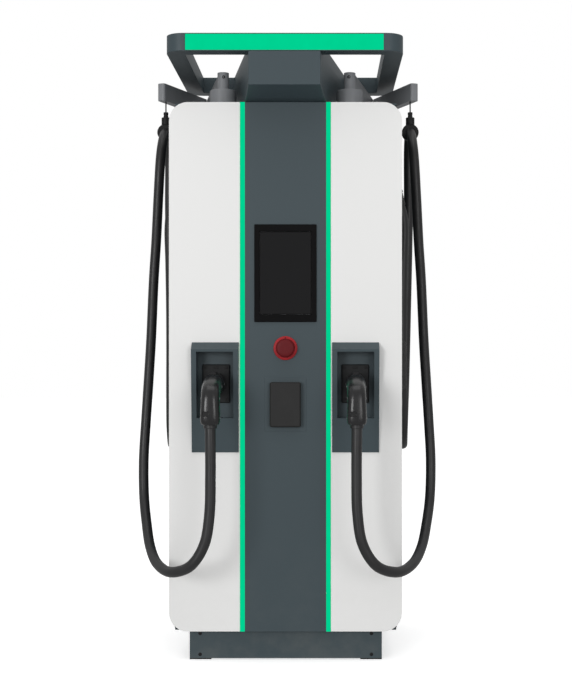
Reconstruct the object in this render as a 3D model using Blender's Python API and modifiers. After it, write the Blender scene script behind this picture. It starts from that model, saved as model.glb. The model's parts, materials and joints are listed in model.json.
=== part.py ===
"""Twin-cable DC charging post: a floor-standing cabinet with a lit ring on its roof.

Metres, +Z up, front towards -Y, +X to the right of a person facing the front.
The origin is on the floor, under the middle of the post without its cables.
"""
import math

import bmesh
import bpy
from mathutils import Matrix, Vector

# ---- driving dimensions -------------------------------------------------------
GAP = 0.0003                    # room kept between pieces that touch
FRONT_Y = -0.270                # front face of the fascia
BODY_HALF_W = 0.375
BODY_BOTTOM_Z = 0.098
BODY_TOP_Z = 1.802
FASCIA_DEPTH = 0.025
FASCIA_CORNER_R = 0.060
SHEET = 0.002
CABINET_HALF_W = 0.358
CABINET_BACK_Y = 0.345
CABLE_ENTRY_Y = FRONT_Y + 0.130  # where each cable leaves its side panel
STRIP_OUTER_X = 0.146
STRIP_INNER_X = 0.131
RING_TOP_Z = 1.998
RING_BOTTOM_Z = 1.942
RING_FRONT_Y = -0.380
RING_BACK_Y = 0.350
RING_BAR = 0.059
RING_SPINE_FRONT = 0.105        # half widths of the ring's middle bar
RING_SPINE_BACK = 0.2035
RING_HOLE_OUTER_X = 0.316
RING_WALL = 0.003
NECK_HALF_W = (0.113, 0.124, 0.219, 0.224)  # half widths of the neck, front to back
NECK_Y = (RING_FRONT_Y, FRONT_Y - 0.033, 0.300, 0.330)
ARM_BOTTOM_Z = 1.859
ARM_TOP_Z = 1.918
ARM_HALF_T = 0.014
SHOULDER = (0.209, -0.159)      # X and Y of the shoulder pivot, right side
ELBOW = (0.298, 0.344)
NOSE = (0.4358, 0.0047)
WIRE = (0.421, 0.025)
HANGER_Z = 1.752
CABLE_R = 0.0165
HOLSTER_INNER_X = 0.150
HOLSTER_OUTER_X = 0.301
HOLSTER_BOTTOM_Z = 0.675
HOLSTER_TOP_Z = 1.029
HOLSTER_DEPTH = 0.034           # at its top; the front slopes back to the fascia below
CONNECTOR_X = 0.225
SOCKET_Z = 0.895
SOCKET_Y = FRONT_Y + 0.032
ESTOP_Z = 1.010
SIDES = (("left", -1), ("right", 1))

post = bpy.data.collections.new("charging_post")
cutters = bpy.data.collections.new("cutters")


def start_clean():
    """An empty scene with one collection for the post and one for its cutters."""
    for old in list(bpy.data.objects):
        bpy.data.objects.remove(old, do_unlink=True)
    bpy.context.scene.collection.children.link(post)
    bpy.context.scene.collection.children.link(cutters)


def finish(name, colour, roughness, metallic=0.0):
    """A Principled material of one colour."""
    found = bpy.data.materials.get(name)
    if found:
        return found
    made = bpy.data.materials.new(name)
    made.use_nodes = True
    shader = made.node_tree.nodes["Principled BSDF"]
    shader.inputs["Base Color"].default_value = (*colour, 1.0)
    shader.inputs["Roughness"].default_value = roughness
    shader.inputs["Metallic"].default_value = metallic
    return made


DARK_PAINT = finish("dark_paint", (0.062, 0.085, 0.098), 0.45)
WHITE_PAINT = finish("white_paint", (0.80, 0.80, 0.80), 0.40)
ARM_PAINT = finish("arm_paint", (0.155, 0.160, 0.166), 0.45)
STEEL = finish("zinc_steel", (0.45, 0.46, 0.47), 0.40, 0.9)
BLACK_PLASTIC = finish("black_plastic", (0.012, 0.012, 0.012), 0.40)
GREY_PLASTIC = finish("grey_plastic", (0.18, 0.19, 0.20), 0.50)
RUBBER = finish("rubber", (0.022, 0.022, 0.023), 0.55)
GREEN_LENS = finish("green_lens", (0.001, 0.640, 0.290), 0.30)
SCREEN = finish("screen_glass", (0.010, 0.010, 0.011), 0.08)
RED_PLASTIC = finish("red_plastic", (0.400, 0.035, 0.045), 0.35)
ALUMINIUM = finish("aluminium", (0.55, 0.56, 0.57), 0.35, 0.9)


# ---- modelling helpers --------------------------------------------------------
def keep(piece, name, material, collection=post):
    """Names a piece, moves it to its collection and gives it its material."""
    piece.name = name
    piece.data.name = name
    for old in list(piece.users_collection):
        old.objects.unlink(piece)
    collection.objects.link(piece)
    piece.data.materials.clear()
    if material:
        piece.data.materials.append(material)
    if collection is cutters:
        piece.hide_render = True
        piece.display_type = "WIRE"
    return piece


def block(name, x, y, z, material=None, collection=post, edge=0.0):
    """A box between two values on each axis, its edges broken by `edge`."""
    bpy.ops.mesh.primitive_cube_add(size=1.0)
    piece = bpy.context.object
    low = Vector((x[0], y[0], z[0]))
    high = Vector((x[1], y[1], z[1]))
    size = high - low
    piece.data.transform(Matrix.Diagonal((*size, 1.0)))
    piece.location = (low + high) / 2
    if edge:
        rounding = piece.modifiers.new("edges", "BEVEL")
        rounding.width = edge
        rounding.segments = 1
    return keep(piece, name, material, collection)


def drum(name, centre, radius, length, axis="Z", sides=24, material=None, collection=post):
    """A cylinder about its centre, along X, Y or Z."""
    turn = {"X": (0, math.pi / 2, 0), "Y": (math.pi / 2, 0, 0), "Z": (0, 0, 0)}[axis]
    bpy.ops.mesh.primitive_cylinder_add(
        vertices=sides, radius=radius, depth=length, location=centre, rotation=turn
    )
    return keep(bpy.context.object, name, material, collection)


def rounded(corners, steps=5):
    """An outline from (x, y, radius) corners, anticlockwise, each radius as an arc."""
    points = []
    count = len(corners)
    for i, (x, y, radius) in enumerate(corners):
        corner = Vector((x, y))
        if radius <= 0:
            points.append(corner)
            continue
        before = (Vector(corners[i - 1][:2]) - corner).normalized()
        after = (Vector(corners[(i + 1) % count][:2]) - corner).normalized()
        half = before.angle(after) / 2
        centre = corner + (before + after).normalized() * radius / math.sin(half)
        first = corner + before * radius / math.tan(half) - centre
        sweep = math.pi - 2 * half
        if before.x * after.y - before.y * after.x > 0:
            sweep = -sweep
        for k in range(steps + 1):
            angle = sweep * k / steps
            turned = Vector((
                first.x * math.cos(angle) - first.y * math.sin(angle),
                first.x * math.sin(angle) + first.y * math.cos(angle),
            ))
            points.append(centre + turned)
    return points


def prism(name, outline, low, high, plane="XY", material=None, collection=post):
    """A flat outline made solid from low to high along the axis square to its plane."""
    shape = bpy.data.curves.new(name + "_outline", "CURVE")
    shape.dimensions = "2D"
    shape.fill_mode = "BOTH"
    shape.extrude = (high - low) / 2
    line = shape.splines.new("POLY")
    line.points.add(len(outline) - 1)
    for point, place in zip(line.points, outline):
        point.co = (place[0], place[1], 0.0, 1.0)
    line.use_cyclic_u = True
    sketch = bpy.data.objects.new(name + "_sketch", shape)
    bpy.context.scene.collection.objects.link(sketch)
    middle = (low + high) / 2
    if plane == "XY":
        sketch.matrix_world = Matrix.Translation((0, 0, middle))
    elif plane == "XZ":
        sketch.matrix_world = Matrix.Translation((0, middle, 0)) @ Matrix.Rotation(math.pi / 2, 4, "X")
    else:
        upright = Matrix(((0, 0, 1, 0), (1, 0, 0, 0), (0, 1, 0, 0), (0, 0, 0, 1)))
        sketch.matrix_world = Matrix.Translation((middle, 0, 0)) @ upright
    return keep(as_mesh(sketch), name, material, collection)


def as_mesh(sketch):
    """A curve's solid as a mesh object with its caps welded on."""
    bpy.context.view_layer.update()
    seen = sketch.evaluated_get(bpy.context.evaluated_depsgraph_get())
    mesh = bpy.data.meshes.new_from_object(seen)
    weld = bmesh.new()
    weld.from_mesh(mesh)
    bmesh.ops.remove_doubles(weld, verts=weld.verts, dist=0.00002)
    bmesh.ops.recalc_face_normals(weld, faces=weld.faces)
    weld.to_mesh(mesh)
    weld.free()
    made = bpy.data.objects.new(sketch.name, mesh)
    made.matrix_world = sketch.matrix_world.copy()
    bpy.context.scene.collection.objects.link(made)
    bpy.data.objects.remove(sketch, do_unlink=True)
    return made


def turned(name, profile, place, material, axis="Z", steps=20):
    """A solid of revolution from an outer (radius, height) profile, listed top to bottom."""
    mesh = bpy.data.meshes.new(name)
    points = [(radius, 0.0, height) for radius, height in profile]
    mesh.from_pydata(points, [(i, i + 1) for i in range(len(points) - 1)], [])
    piece = bpy.data.objects.new(name, mesh)
    bpy.context.scene.collection.objects.link(piece)
    spin = piece.modifiers.new("turn", "SCREW")
    spin.steps = steps
    spin.render_steps = steps
    spin.use_merge_vertices = True
    spin.merge_threshold = 0.00002
    piece.location = place
    if axis == "-Y":
        piece.rotation_euler = (math.pi / 2, 0, 0)
    elif axis != "Z":
        piece.rotation_euler = axis
    return keep(piece, name, material)


def cut(piece, *tools):
    """Takes each tool's shape out of a piece."""
    for tool in tools:
        change = piece.modifiers.new("cut_" + tool.name, "BOOLEAN")
        change.operation = "DIFFERENCE"
        change.solver = "EXACT"
        change.object = tool
    return piece


def join(piece, *tools):
    """Fuses each tool's shape to a piece."""
    for tool in tools:
        change = piece.modifiers.new("join_" + tool.name, "BOOLEAN")
        change.operation = "UNION"
        change.solver = "EXACT"
        change.object = tool
    return piece


def set_pivot(piece, x, y, z):
    """Moves a piece's origin onto its joint's axis without moving the piece."""
    bpy.context.view_layer.update()
    pivot = Vector((x, y, z))
    piece.data.transform(Matrix.Translation(-pivot) @ piece.matrix_world)
    piece.matrix_world = Matrix.Translation(pivot)
    return piece


def span(side, near, far):
    """X values, low then high, between two distances from the middle on one side."""
    return (near, far) if side > 0 else (-far, -near)


# ---- plinth -------------------------------------------------------------------
def make_plinth():
    half_w = 0.312
    front = FRONT_Y + 0.037
    back = CABINET_BACK_Y - 0.020
    bottom = 0.003 + GAP
    top = BODY_BOTTOM_Z - GAP
    cover = 0.003
    frame = block("plinth_frame", (-half_w, half_w), (front + cover + GAP, back), (bottom, top), DARK_PAINT)
    wall = 0.006
    flange = 0.050
    inner = block("plinth_inside", (wall - half_w, half_w - wall),
                  (front + cover + wall, back - wall), (0.013, 0.2), None, cutters)
    mouth = block("plinth_mouth", (flange - half_w, half_w - flange),
                  (front + flange, back - flange), (-0.1, 0.1), None, cutters)
    cut(frame, inner, mouth)
    for x in (-0.270, 0.270):
        for y in (front + 0.028, back - 0.028):
            cut(frame, drum("anchor_hole", (x, y, 0.01), 0.007, 0.05, "Z", 12, None, cutters))
    block("plinth_cover_front", (-half_w, half_w), (front, front + cover), (bottom, top), DARK_PAINT)
    for name, side in SIDES:
        block("foot_rail_" + name, span(side, 0.242, half_w), (front, back), (0.0, 0.003), RUBBER)


# ---- cabinet ------------------------------------------------------------------
def make_cabinet():
    front = FRONT_Y + FASCIA_DEPTH + GAP
    back = CABINET_BACK_Y
    top_sheet = 0.006
    floor_top = BODY_BOTTOM_Z + 0.004
    roof_bottom = BODY_TOP_Z - top_sheet
    floor = block("floor_plate", (-CABINET_HALF_W, CABINET_HALF_W), (front, back),
                  (BODY_BOTTOM_Z, floor_top), DARK_PAINT)
    cut(floor, block("mains_cutout", (-0.060, 0.060), (0.020, 0.120), (0.0, 0.2), None, cutters))
    block("roof_plate", (-CABINET_HALF_W, CABINET_HALF_W), (front, back), (roof_bottom, BODY_TOP_Z),
          DARK_PAINT)
    for name, side in SIDES:
        panel = block("side_panel_" + name, span(side, CABINET_HALF_W - SHEET, CABINET_HALF_W),
                      (front, back), (floor_top + GAP, roof_bottom - GAP), DARK_PAINT)
        cut(panel, block("entry_window_" + name, span(side, 0.30, 0.40),
                         (CABLE_ENTRY_Y - 0.045, CABLE_ENTRY_Y + 0.045), (1.440, 1.560), None, cutters))
    block("mounting_plate", (-0.320, 0.320), (0.122, 0.125), (0.160, 1.760), STEEL)


def make_rear_door():
    hinge_x = -0.350
    leaf_y = (CABINET_BACK_Y + 0.001, CABINET_BACK_Y + 0.019)
    bottom = BODY_BOTTOM_Z + 0.006
    top = BODY_TOP_Z - 0.008
    door = block("rear_door", (-CABINET_HALF_W, CABINET_HALF_W), leaf_y, (bottom, top), DARK_PAINT)
    tray = block("door_inside", (-CABINET_HALF_W + SHEET, CABINET_HALF_W - SHEET),
                 (leaf_y[0] - 0.01, leaf_y[1] - SHEET), (bottom + SHEET, top - SHEET), None, cutters)
    vent = block("door_vent", (-0.200, 0.200), (leaf_y[0], leaf_y[1] + 0.01), (0.250, 0.550), None, cutters)
    cut(door, tray, vent)
    set_pivot(door, hinge_x, leaf_y[1] + 0.0074, 0.95)
    grille = block("vent_grille", (-0.1995, 0.1995), (leaf_y[1] - 0.012, leaf_y[1] - 0.006), (0.2505, 0.5495),
                   DARK_PAINT)
    cut(grille, block("grille_hole", (-0.185, 0.185), (0.2, 0.5), (0.265, 0.535), None, cutters))
    count = 9
    pitch = (0.535 - 0.265) / count
    for k in range(count):
        z = 0.265 + pitch * (k + 0.5)
        slat = block("slat_%d" % k, (-0.190, 0.190), (leaf_y[1] - 0.0105, leaf_y[1] - 0.0075),
                     (z - 0.010, z + 0.010), None, cutters)
        join(grille, slat)
    drum("door_hinge", (hinge_x, leaf_y[1] + 0.0074, 0.95), 0.007, 1.50, "Z", 12, STEEL)
    handle = block("door_handle", (0.290, 0.314), (leaf_y[1] + GAP, CABINET_BACK_Y + 0.035), (0.930, 1.060),
                   BLACK_PLASTIC)
    grip = block("handle_grip", (0.2, 0.4), (0.0, CABINET_BACK_Y + 0.028), (0.952, 1.038), None, cutters)
    cut(handle, grip)


# ---- front --------------------------------------------------------------------
def make_fascias():
    back = FRONT_Y + FASCIA_DEPTH
    wall = 0.003
    inner = STRIP_OUTER_X + GAP
    for name, side in SIDES:
        low, high = span(side, inner, BODY_HALF_W)
        outer_r = FASCIA_CORNER_R
        pocket_r = FASCIA_CORNER_R - wall
        left_r, right_r = (outer_r, 0) if side < 0 else (0, outer_r)
        outline = rounded([(low, BODY_BOTTOM_Z, left_r), (high, BODY_BOTTOM_Z, right_r),
                           (high, BODY_TOP_Z, right_r), (low, BODY_TOP_Z, left_r)], 7)
        panel = prism("fascia_" + name, outline, FRONT_Y, back, "XZ", WHITE_PAINT)
        left_r, right_r = (pocket_r, 0) if side < 0 else (0, pocket_r)
        low_in = low + wall if side < 0 else low - 0.01
        high_in = high + 0.01 if side < 0 else high - wall
        inside = rounded([(low_in, BODY_BOTTOM_Z + wall, left_r), (high_in, BODY_BOTTOM_Z + wall, right_r),
                          (high_in, BODY_TOP_Z - wall, right_r), (low_in, BODY_TOP_Z - wall, left_r)], 7)
        pocket = prism("fascia_pocket_" + name, inside, FRONT_Y + wall, back + 0.01, "XZ", None, cutters)
        window = block("holster_window_" + name, span(side, 0.165, 0.286), (FRONT_Y - 0.01, back + 0.01),
                       (0.783, 1.001), None, cutters)
        cut(panel, pocket, window)
        strip_x = span(side, STRIP_INNER_X, STRIP_OUTER_X)
        block("light_strip_" + name, strip_x, (FRONT_Y - 0.001, FRONT_Y + 0.012),
              (BODY_BOTTOM_Z, BODY_TOP_Z), GREEN_LENS)
    centre = block("fascia_centre", (GAP - STRIP_INNER_X, STRIP_INNER_X - GAP), (FRONT_Y, back),
                   (BODY_BOTTOM_Z, BODY_TOP_Z), DARK_PAINT)
    hollow = block("centre_pocket", (-0.122, 0.122), (FRONT_Y + wall, back + 0.01),
                   (BODY_BOTTOM_Z + 0.012, BODY_TOP_Z - 0.012), None, cutters)
    screen_hole = block("screen_hole", (-0.090, 0.090), (FRONT_Y - 0.01, back), (1.105, 1.397), None, cutters)
    button_hole = drum("button_hole", (0, FRONT_Y, ESTOP_Z), 0.0115, 0.05, "Y", 16, None, cutters)
    cut(centre, hollow, screen_hole, button_hole)


def make_display():
    bezel_face = FRONT_Y - 0.006
    bezel = block("display_bezel", (-0.100, 0.100), (bezel_face, FRONT_Y - GAP), (1.094, 1.408),
                  BLACK_PLASTIC)
    cut(bezel, block("bezel_window", (-0.083, 0.083), (FRONT_Y - 0.02, FRONT_Y + 0.02), (1.118, 1.385),
                     None, cutters))
    block("display_glass", (-0.0827, 0.0827), (bezel_face + 0.002, FRONT_Y + 0.001), (1.1183, 1.3847), SCREEN)
    block("display_module", (-0.0897, 0.0897), (FRONT_Y + 0.0015, FRONT_Y + 0.045), (1.1053, 1.3967),
          GREY_PLASTIC)


def make_stop_button():
    ring = turned("estop_collar", [(0.0120, 0.0), (0.0120, 0.0060), (0.0300, 0.0060), (0.0385, 0.0035),
                                   (0.0385, 0.0), (0.0120, 0.0)][::-1],
                  (0, FRONT_Y - GAP, ESTOP_Z), RED_PLASTIC, "-Y", 28)
    flip_to_outside(ring)
    turned("estop_button", [(0.0, 0.0310), (0.0240, 0.0300), (0.0295, 0.0255), (0.0295, 0.0190),
                            (0.0180, 0.0160), (0.0110, 0.0160), (0.0110, -0.0140), (0.0, -0.0140)],
           (0, FRONT_Y - GAP, ESTOP_Z), RED_PLASTIC, "-Y", 24)
    block("estop_contacts", (-0.020, 0.020), (FRONT_Y + 0.0215, FRONT_Y + 0.065),
          (ESTOP_Z - 0.020, ESTOP_Z + 0.020), BLACK_PLASTIC)


def flip_to_outside(piece):
    """Applies a piece's modifiers and points its faces out."""
    bpy.context.view_layer.update()
    seen = piece.evaluated_get(bpy.context.evaluated_depsgraph_get())
    mesh = bpy.data.meshes.new_from_object(seen)
    work = bmesh.new()
    work.from_mesh(mesh)
    bmesh.ops.remove_doubles(work, verts=work.verts, dist=0.00002)
    bmesh.ops.recalc_face_normals(work, faces=work.faces)
    work.to_mesh(mesh)
    work.free()
    piece.modifiers.clear()
    piece.data = mesh


def make_card_reader():
    low_z = 0.757
    high_z = 0.901
    plate_y = FRONT_Y - 0.0015
    reader = block("card_reader", (-0.050, 0.050), (plate_y - 0.024, plate_y - GAP), (low_z, high_z),
                   BLACK_PLASTIC, post, 0.004)
    notch = block("reader_notch", (-0.029, 0.025), (plate_y - 0.010, plate_y),
                  (low_z - 0.01, low_z + 0.006), None, cutters)
    cut(reader, notch)


# ---- holsters -----------------------------------------------------------------
def make_holsters():
    rim = FRONT_Y - HOLSTER_DEPTH
    foot = FRONT_Y - 0.004
    mouth_z = (0.7855, 0.9985)
    back = FRONT_Y - GAP
    tub_back = SOCKET_Y - 0.001
    wall = 0.002
    for name, side in SIDES:
        outer_x = span(side, HOLSTER_INNER_X, HOLSTER_OUTER_X)
        profile = [(back, HOLSTER_BOTTOM_Z), (back, HOLSTER_TOP_Z), (rim, 1.007), (foot, HOLSTER_BOTTOM_Z)]
        shell = prism("holster_" + name, profile, outer_x[0], outer_x[1], "YZ", DARK_PAINT)
        tub_x = span(side, 0.1655, 0.2855)
        tub = block("holster_tub_" + name, tub_x, (FRONT_Y - 0.010, tub_back), (0.7835, 1.0005),
                    None, cutters)
        join(shell, tub)
        inside = block("tub_inside_" + name, (tub_x[0] + wall, tub_x[1] - wall),
                       (FRONT_Y - 0.020, tub_back - wall), mouth_z, None, cutters)
        mouth = block("holster_mouth_" + name, span(side, 0.1665, 0.2845), (rim - 0.010, FRONT_Y),
                      mouth_z, None, cutters)
        cut(shell, mouth, inside)
        face = tub_back - wall - GAP
        middle = side * CONNECTOR_X
        plate = block("socket_" + name, (middle - 0.0445, middle + 0.0445), (face - 0.008, face),
                      (SOCKET_Z - 0.0625, SOCKET_Z + 0.0625), BLACK_PLASTIC)
        rounding = plate.modifiers.new("corners", "BEVEL")
        rounding.width = 0.003
        rounding.segments = 1
        well = drum("socket_well_" + name, (middle, face - 0.008, SOCKET_Z), 0.0305, 0.010, "Y", 24,
                    None, cutters)
        cut(plate, well)


# ---- roof ring ----------------------------------------------------------------
def ring_hole(side, grown):
    """The outline of one side hole of the ring, grown outwards by a wall."""
    front = RING_FRONT_Y + RING_BAR - grown
    back = RING_BACK_Y - RING_BAR + grown
    outer_x = side * (RING_HOLE_OUTER_X + grown)
    hole = [(side * (RING_SPINE_FRONT - grown), front), (outer_x, front),
            (outer_x, back), (side * (RING_SPINE_BACK - grown), back)]
    return hole if side > 0 else hole[::-1]


def neck_outline(inset):
    """The neck seen from above, anticlockwise, shrunk by the thickness of its sheet."""
    ends = (inset, 0.0, 0.0, -inset)
    right = [(half - inset, y + end) for half, y, end in zip(NECK_HALF_W, NECK_Y, ends)]
    return right + [(-x, y) for x, y in reversed(right)]


def make_ring_and_neck():
    half = BODY_HALF_W
    corner = 0.055
    outline = rounded([(-half, RING_FRONT_Y, corner), (half, RING_FRONT_Y, corner),
                       (half, RING_BACK_Y, corner), (-half, RING_BACK_Y, corner)], 6)
    ring = prism("roof_ring", outline, RING_BOTTOM_Z, RING_TOP_Z, "XY", DARK_PAINT)
    wall = RING_WALL
    skin_front = RING_FRONT_Y + 5 * wall
    skin_front_r = 0.030
    skin = rounded([(wall - half, skin_front, skin_front_r), (half - wall, skin_front, skin_front_r),
                    (half - wall, RING_BACK_Y - wall, corner), (wall - half, RING_BACK_Y - wall, corner)], 3)
    hollow = prism("ring_inside", skin, RING_BOTTOM_Z + wall, RING_TOP_Z - wall, "XY", None, cutters)
    for name, side in SIDES:
        cut(ring, prism("ring_hole_" + name, ring_hole(side, 0.0), 1.8, 2.1, "XY", None, cutters))
        cut(hollow, prism("ring_wall_" + name, ring_hole(side, wall), 1.8, 2.1, "XY", None, cutters))
    mouth_x = (-0.085, 0.085)
    mouth_y = (-0.300, 0.280)
    mouth = block("ring_mouth", mouth_x, mouth_y, (1.930, 1.960), None, cutters)
    cut(ring, hollow, mouth)
    lens_half = 0.311
    lens_z = (RING_BOTTOM_Z + 0.003, RING_TOP_Z - 0.003)
    slot = block("lens_slot", (-lens_half - GAP, lens_half + GAP),
                 (RING_FRONT_Y - 0.01, RING_FRONT_Y + 0.012), (lens_z[0] - GAP, lens_z[1] + GAP),
                 None, cutters)
    cut(ring, slot)
    block("ring_light", (-lens_half, lens_half), (RING_FRONT_Y, RING_FRONT_Y + 0.0115), lens_z, GREEN_LENS)
    neck_top = RING_BOTTOM_Z - GAP
    neck = prism("neck_shell", neck_outline(0.0), BODY_TOP_Z + GAP, neck_top, "XY", DARK_PAINT)
    slope = [(RING_FRONT_Y - 0.01, 1.79), (FRONT_Y, 1.79), (FRONT_Y, BODY_TOP_Z + GAP),
             (RING_FRONT_Y, 1.836), (RING_FRONT_Y - 0.01, 1.840)]
    wedge = prism("neck_underside", slope, -0.3, 0.3, "YZ", None, cutters)
    core = prism("neck_inside", neck_outline(wall), 1.843, neck_top - wall, "XY", None, cutters)
    core_mouth = block("neck_mouth", mouth_x, mouth_y, (1.900, 2.000), None, cutters)
    cut(neck, wedge, core, core_mouth)


# ---- swing arms ---------------------------------------------------------------
def bar_outline(start, end, start_r, end_r):
    """A straight bar seen from above: round at its start, softly squared at its end."""
    a = Vector(start)
    b = Vector(end)
    along = (b - a).normalized()
    across = Vector((-along.y, along.x))
    first = math.atan2(across.y, across.x)
    points = []
    steps = 10
    for k in range(steps + 1):
        angle = first + math.pi * k / steps
        points.append(a + Vector((math.cos(angle), math.sin(angle))) * start_r)
    for sign_across, sign_turn in ((-1, 0), (1, 1)):
        centre = b - along * end_r + across * sign_across * (ARM_HALF_T - end_r)
        base = math.atan2(along.y, along.x) - (math.pi / 2 if sign_turn == 0 else 0)
        for k in range(5):
            angle = base + math.pi / 2 * k / 4
            points.append(centre + Vector((math.cos(angle), math.sin(angle))) * end_r)
    return points


def mirrored(point, side):
    """An X and Y position given for the right side, on either side."""
    return (point[0] * side, point[1])


def make_arms():
    shoulder_z = BODY_TOP_Z + GAP
    tongue_low = ARM_BOTTOM_Z + 0.0145
    tongue_high = ARM_TOP_Z - 0.0145
    sweep = 0.054
    for name, side in SIDES:
        shoulder = mirrored(SHOULDER, side)
        elbow = mirrored(ELBOW, side)
        nose = mirrored(NOSE, side)
        wire = mirrored(WIRE, side)
        collar_top = ARM_BOTTOM_Z - GAP
        collar = [(0.0, collar_top), (0.0425, collar_top), (0.0440, collar_top - 0.0017),
                  (0.0440, shoulder_z), (0.0, shoulder_z)]
        turned("arm_collar_" + name, collar, (*shoulder, 0), ARM_PAINT, "Z", 24)
        inner = prism("inner_arm_" + name, bar_outline(elbow, shoulder, ARM_HALF_T, 0.010),
                      ARM_BOTTOM_Z, ARM_TOP_Z, "XY", ARM_PAINT)
        boss = drum("boss_" + name, (*shoulder, (ARM_BOTTOM_Z + ARM_TOP_Z) / 2), 0.019,
                    ARM_TOP_Z - ARM_BOTTOM_Z, "Z", 24, None, cutters)
        join(inner, boss)
        slot = drum("elbow_slot_" + name, (*elbow, (ARM_BOTTOM_Z + ARM_TOP_Z) / 2), sweep,
                    tongue_high - tongue_low + 2 * GAP, "Z", 32, None, cutters)
        pin_hole = drum("pin_hole_" + name, (*elbow, 1.9), 0.0063, 0.3, "Z", 16, None, cutters)
        cut(inner, slot, pin_hole)
        set_pivot(inner, *shoulder, ARM_BOTTOM_Z)
        outer = prism("outer_arm_" + name, bar_outline(elbow, nose, ARM_HALF_T, 0.008),
                      ARM_BOTTOM_Z, ARM_TOP_Z, "XY", ARM_PAINT)
        over = drum("over_tongue_" + name, (*elbow, tongue_high + 0.05), sweep, 0.1, "Z", 32, None, cutters)
        under = drum("under_tongue_" + name, (*elbow, tongue_low - 0.05), sweep, 0.1, "Z", 32, None, cutters)
        wire_hole = drum("wire_hole_" + name, (*wire, ARM_BOTTOM_Z), 0.0035, 0.030, "Z", 12, None, cutters)
        cut(outer, over, under, pin_hole, wire_hole)
        set_pivot(outer, *elbow, ARM_BOTTOM_Z)
        drum("elbow_pin_" + name, (*elbow, (ARM_BOTTOM_Z + ARM_TOP_Z) / 2), 0.0060,
             ARM_TOP_Z - ARM_BOTTOM_Z - 0.002, "Z", 12, STEEL)
        make_hanger(name, wire)


def make_hanger(name, wire):
    """The wire, the stepped clamp on its end and the sleeve that the cable runs through."""
    x, y = wire
    sleeve = drum("cable_hanger_" + name, (x, y, HANGER_Z), 0.029, 0.022, "Y", 24, BLACK_PLASTIC)
    neck = drum("hanger_neck_" + name, (x, y, 1.7915), 0.015, 0.025, "Z", 16, None, cutters)
    crimp = drum("hanger_crimp_" + name, (x, y, 1.8125), 0.0083, 0.019, "Z", 16, None, cutters)
    wire_top = ARM_BOTTOM_Z + 0.010
    rope = drum("hanger_wire_" + name, (x, y, (wire_top + 1.815) / 2), 0.002, wire_top - 1.815, "Z", 8,
                None, cutters)
    join(sleeve, neck, crimp, rope)
    cut(sleeve, drum("hanger_eye_" + name, (x, y, HANGER_Z), 0.0210, 0.1, "Y", 24, None, cutters))


# ---- cables -------------------------------------------------------------------
# Route of the right-hand cable, (X, Y, Z), from its gland to its connector.
CONNECTOR_END = Vector((CONNECTOR_X, FRONT_Y - 0.190, 0.774))
CABLE_ROUTE = [
    (0.3725, -0.1400, 1.4920),
    (0.3850, -0.1400, 1.4500),
    (0.3890, -0.1395, 1.4050),
    (0.3865, -0.1390, 1.3000),
    (0.3840, -0.1380, 1.1500),
    (0.3835, -0.1360, 1.0000),
    (0.3850, -0.1260, 0.8700),
    (0.3880, -0.0960, 0.7500),
    (0.3920, -0.0250, 0.6830),
    (0.3980, 0.0520, 0.7100),
    (0.4040, 0.1000, 0.8000),
    (0.4100, 0.1270, 0.9500),
    (0.4160, 0.1450, 1.1500),
    (0.4210, 0.1530, 1.3500),
    (0.4235, 0.1500, 1.5200),
    (0.4232, 0.1520, 1.6505),
    (0.4226, 0.1380, 1.7025),
    (0.4218, 0.1000, 1.7406),
    (0.4211, 0.0480, 1.7545),
    (0.4222, -0.0040, 1.7406),
    (0.4248, -0.0420, 1.7025),
    (0.4290, -0.0560, 1.6505),
    (0.4370, -0.0560, 1.5110),
    (0.4440, -0.0530, 1.3750),
    (0.4530, -0.0500, 1.2400),
    (0.4620, -0.0500, 1.0370),
    (0.4700, -0.0520, 0.9010),
    (0.4780, -0.0580, 0.7660),
    (0.4840, -0.0700, 0.6310),
    (0.4790, -0.0950, 0.5100),
    (0.4640, -0.1450, 0.4300),
    (0.4420, -0.2200, 0.3640),
    (0.4040, -0.3200, 0.3230),
    (0.3480, -0.4100, 0.3140),
    (0.2850, -0.4550, 0.3420),
    (0.2430, -0.4660, 0.4080),
    (0.2270, -0.4660, 0.5000),
    (0.2240, -0.4640, 0.6200),
    (0.2250, -0.4600, 0.7737),
]


def smooth_line(points, spacing):
    """Evenly spaced points on the centripetal Catmull-Rom curve through a route."""
    route = [Vector(p) for p in points]
    route = [route[0] * 2 - route[1]] + route + [route[-1] * 2 - route[-2]]
    fine = []
    for a, b, c, d in zip(route, route[1:], route[2:], route[3:]):
        t0 = 0.0
        t1 = t0 + math.sqrt((b - a).length)
        t2 = t1 + math.sqrt((c - b).length)
        t3 = t2 + math.sqrt((d - c).length)
        for k in range(24):
            t = t1 + (t2 - t1) * k / 24
            ab = a * ((t1 - t) / (t1 - t0)) + b * ((t - t0) / (t1 - t0))
            bc = b * ((t2 - t) / (t2 - t1)) + c * ((t - t1) / (t2 - t1))
            cd = c * ((t3 - t) / (t3 - t2)) + d * ((t - t2) / (t3 - t2))
            abc = ab * ((t2 - t) / (t2 - t0)) + bc * ((t - t0) / (t2 - t0))
            bcd = bc * ((t3 - t) / (t3 - t1)) + cd * ((t - t1) / (t3 - t1))
            fine.append(abc * ((t2 - t) / (t2 - t1)) + bcd * ((t - t1) / (t2 - t1)))
    fine.append(route[-2])
    runs = [0.0]
    for p, q in zip(fine, fine[1:]):
        runs.append(runs[-1] + (q - p).length)
    count = max(2, round(runs[-1] / spacing))
    even = []
    k = 0
    for i in range(count + 1):
        want = runs[-1] * i / count
        while k < len(fine) - 2 and runs[k + 1] < want:
            k += 1
        share = (want - runs[k]) / max(runs[k + 1] - runs[k], 1e-9)
        even.append(fine[k].lerp(fine[k + 1], min(max(share, 0.0), 1.0)))
    return even


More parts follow.
